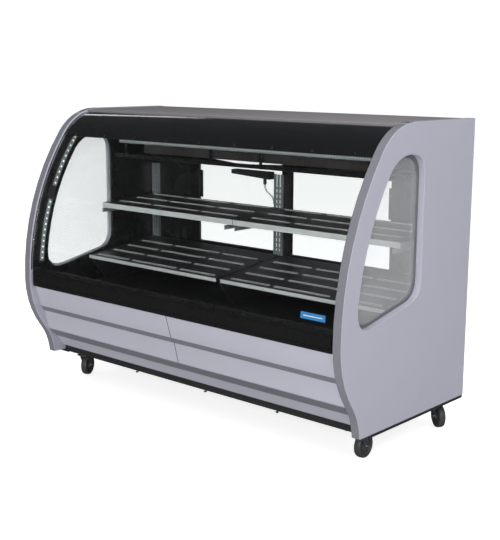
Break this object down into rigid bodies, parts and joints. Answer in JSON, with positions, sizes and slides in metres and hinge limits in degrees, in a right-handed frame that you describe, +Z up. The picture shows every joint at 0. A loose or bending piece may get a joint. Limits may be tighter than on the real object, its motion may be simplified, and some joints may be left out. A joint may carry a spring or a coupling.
{
  "type": "refrigerated deli case",
  "caption": "Refrigerated deli display case with a curved lift-up front glass, windowed ends, slotted deck and shelves, rear sliding doors and swivel casters.",
  "frame": {"origin": "on the floor under the middle of the case", "axes": "+Z up; -Y towards the customer side with the curved glass; X along the case's length, +X to the right as the customer sees it"},
  "size_m": [1.85, 0.875, 1.3],
  "materials": {
    "lilac_paint": "satin lilac-grey paint",
    "black_paint": "gloss black paint",
    "black_print": "black screen print on the glass",
    "polished_top": "polished sheet",
    "bright_steel": "bright plated steel",
    "aluminium": "plain aluminium",
    "grey_plastic": "matt grey plastic",
    "black_rubber": "matt black rubber",
    "zinc": "zinc plate",
    "clear_glass": "clear tempered glass",
    "copper": "copper pipe"
  },
  "bodies": {
    "cabinet": {"left_end_panel": "lilac_paint", "right_end_panel": "lilac_paint", "kick_panel_left": "lilac_paint", "kick_panel_right": "lilac_paint", "kick_panel_lower": "lilac_paint", "rear_frame": "lilac_paint", "rear_grille": "lilac_paint", "base_frame": "black_paint", "insulated_tub": "black_paint", "left_liner": "black_paint", "right_liner": "black_paint", "glass_hinge_rail": "black_paint", "bottom_rail": "black_paint", "drip_tray": "black_paint", "drip_trough": "black_paint", "fan_motor": "black_paint", "compressor": "black_paint", "control_box": "black_paint", "top_panel": "polished_top", "deck_pan_left": "bright_steel", "deck_pan_right": "bright_steel", "upper_shelf_left": "bright_steel", "upper_shelf_right": "bright_steel", "left_standard": "bright_steel", "right_standard": "bright_steel", "bracket_far_left": "bright_steel", "bracket_inner_left": "bright_steel", "bracket_inner_right": "bright_steel", "bracket_far_right": "bright_steel", "light_bar": "bright_steel", "door_track_top": "aluminium", "door_track_bottom": "aluminium", "evaporator_coil": "aluminium", "condenser_coil": "aluminium", "centre_post": "grey_plastic", "drain_hose": "grey_plastic", "left_window_gasket": "black_rubber", "right_window_gasket": "black_rubber", "left_led_strip": "black_rubber", "right_led_strip": "black_rubber", "left_window_glass": "clear_glass", "right_window_glass": "clear_glass", "refrigerant_line": "copper"},
    "front_glass": {"front_glass": "clear_glass", "header_band": "black_print"},
    "left_door": {"left_door_frame": "black_paint", "left_door_glass": "clear_glass"},
    "right_door": {"right_door_frame": "black_paint", "right_door_glass": "clear_glass"},
    "condenser_fan": {"fan_rotor": "aluminium"},
    "thermostat_knob": {"thermostat_knob": "grey_plastic"},
    "light_switch": {"light_switch": "grey_plastic"},
    "front_left_swivel": {"front_left_fork": "zinc"},
    "front_left_wheel": {"front_left_wheel": "black_rubber"},
    "front_right_swivel": {"front_right_fork": "zinc"},
    "front_right_wheel": {"front_right_wheel": "black_rubber"},
    "rear_left_swivel": {"rear_left_fork": "zinc"},
    "rear_left_wheel": {"rear_left_wheel": "black_rubber"},
    "rear_right_swivel": {"rear_right_fork": "zinc"},
    "rear_right_wheel": {"rear_right_wheel": "black_rubber"}
  },
  "joints": [
    {"name": "front_glass_lift", "type": "hinge", "parent": "cabinet", "child": "front_glass", "pos_m": [0, -0.076, 1.2686], "axis": [-1, 0, 0], "range_deg": [0, 40]},
    {"name": "left_door_slide", "type": "slide", "parent": "cabinet", "child": "left_door", "axis": [1, 0, 0], "range_m": [0, 0.585]},
    {"name": "right_door_slide", "type": "slide", "parent": "cabinet", "child": "right_door", "axis": [-1, 0, 0], "range_m": [0, 0.585]},
    {"name": "front_left_swivel", "type": "hinge", "parent": "cabinet", "child": "front_left_swivel", "pos_m": [-0.826, -0.1745, 0.11], "axis": [0, 0, 1], "continuous": true},
    {"name": "front_left_roll", "type": "hinge", "parent": "front_left_swivel", "child": "front_left_wheel", "pos_m": [-0.84024, -0.14253, 0.04957], "axis": [0.9135, 0.4067, 0], "continuous": true},
    {"name": "front_right_swivel", "type": "hinge", "parent": "cabinet", "child": "front_right_swivel", "pos_m": [0.826, -0.1745, 0.11], "axis": [0, 0, 1], "continuous": true},
    {"name": "front_right_roll", "type": "hinge", "parent": "front_right_swivel", "child": "front_right_wheel", "pos_m": [0.82478, -0.13952, 0.04957], "axis": [0.9994, 0.0349, 0], "continuous": true},
    {"name": "rear_left_swivel", "type": "hinge", "parent": "cabinet", "child": "rear_left_swivel", "pos_m": [-0.826, 0.3825, 0.11], "axis": [0, 0, 1], "continuous": true},
    {"name": "rear_left_roll", "type": "hinge", "parent": "rear_left_swivel", "child": "rear_left_wheel", "pos_m": [-0.81992, 0.34803, 0.04957], "axis": [-0.9848, -0.1736, 0], "continuous": true},
    {"name": "rear_right_swivel", "type": "hinge", "parent": "cabinet", "child": "rear_right_swivel", "pos_m": [0.826, 0.3825, 0.11], "axis": [0, 0, 1], "continuous": true},
    {"name": "rear_right_roll", "type": "hinge", "parent": "rear_right_swivel", "child": "rear_right_wheel", "pos_m": [0.85467, 0.36242, 0.04957], "axis": [-0.5736, -0.8192, 0], "continuous": true},
    {"name": "condenser_fan_spin", "type": "hinge", "parent": "cabinet", "child": "condenser_fan", "pos_m": [-0.01, 0.2965, 0.2675], "axis": [0, 1, 0], "continuous": true},
    {"name": "thermostat_turn", "type": "hinge", "parent": "cabinet", "child": "thermostat_knob", "pos_m": [0.64, 0.4078, 0.29], "axis": [0, 1, 0], "range_deg": [-135, 135]},
    {"name": "light_switch_rock", "type": "hinge", "parent": "cabinet", "child": "light_switch", "pos_m": [0.76, 0.4055, 0.29], "axis": [1, 0, 0], "range_deg": [-18, 0]}
  ]
}
